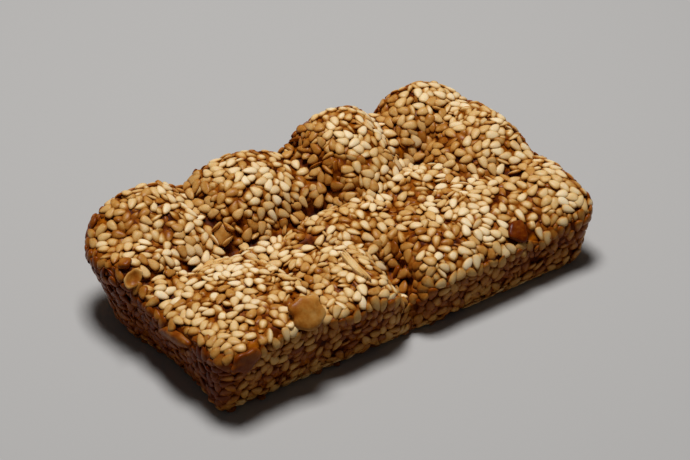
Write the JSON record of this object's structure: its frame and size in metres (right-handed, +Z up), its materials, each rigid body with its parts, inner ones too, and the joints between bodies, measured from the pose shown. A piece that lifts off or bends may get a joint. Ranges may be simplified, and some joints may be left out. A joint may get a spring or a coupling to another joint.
{
  "type": "sesame brittle slab",
  "caption": "Thick hand-broken slab of toasted sesame seeds in hard caramel, with a humped top, creases between the humps and a flat underside.",
  "frame": {"origin": "on the flat underside, under the middle of the slab's bounding box", "axes": "+Z up, +X along the slab's length, +Y towards the taller row of humps"},
  "size_m": [0.0982, 0.054, 0.0248],
  "materials": {
    "seeds_in_caramel": "satin"
  },
  "bodies": {
    "root": {"sesame_slab": "seeds_in_caramel"}
  },
  "joints": []
}
